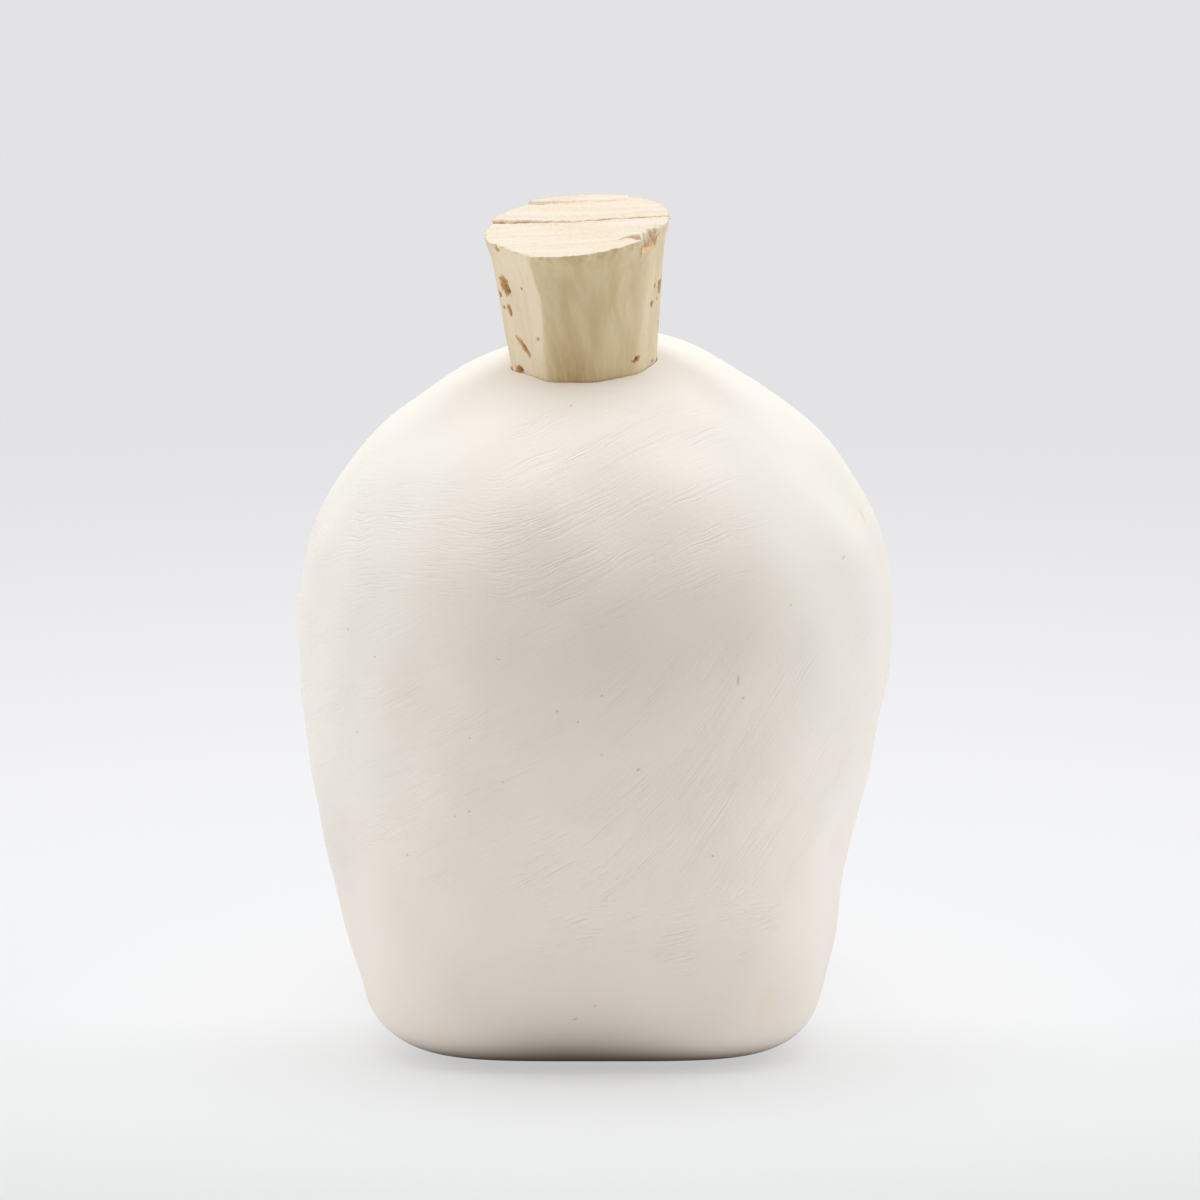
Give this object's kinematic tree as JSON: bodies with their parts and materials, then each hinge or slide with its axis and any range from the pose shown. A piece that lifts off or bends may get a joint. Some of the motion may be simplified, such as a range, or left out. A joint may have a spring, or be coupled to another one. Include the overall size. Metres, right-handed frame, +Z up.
{
  "type": "skull bottle",
  "caption": "Small hand-built unglazed white clay bottle in the form of a skull, closed by a tapered natural cork that pulls out of the crown.",
  "frame": {"origin": "on the flat foot, under the upright axis of the skull", "axes": "+Z up through the crown, -Y towards the smooth back of the head, +Y towards the face, +X to the right seen from the back"},
  "size_m": [0.0727, 0.0795, 0.103],
  "materials": {
    "white_clay": "matte",
    "natural_cork": "matte"
  },
  "bodies": {
    "bottle": {"skull_shell": "white_clay"},
    "stopper": {"cork_stopper": "natural_cork"}
  },
  "joints": [
    {"name": "cork_pull", "type": "slide", "parent": "bottle", "child": "stopper", "axis": [-0.0523, -0.1217, 0.9912], "range_m": [0, 0.04]}
  ]
}
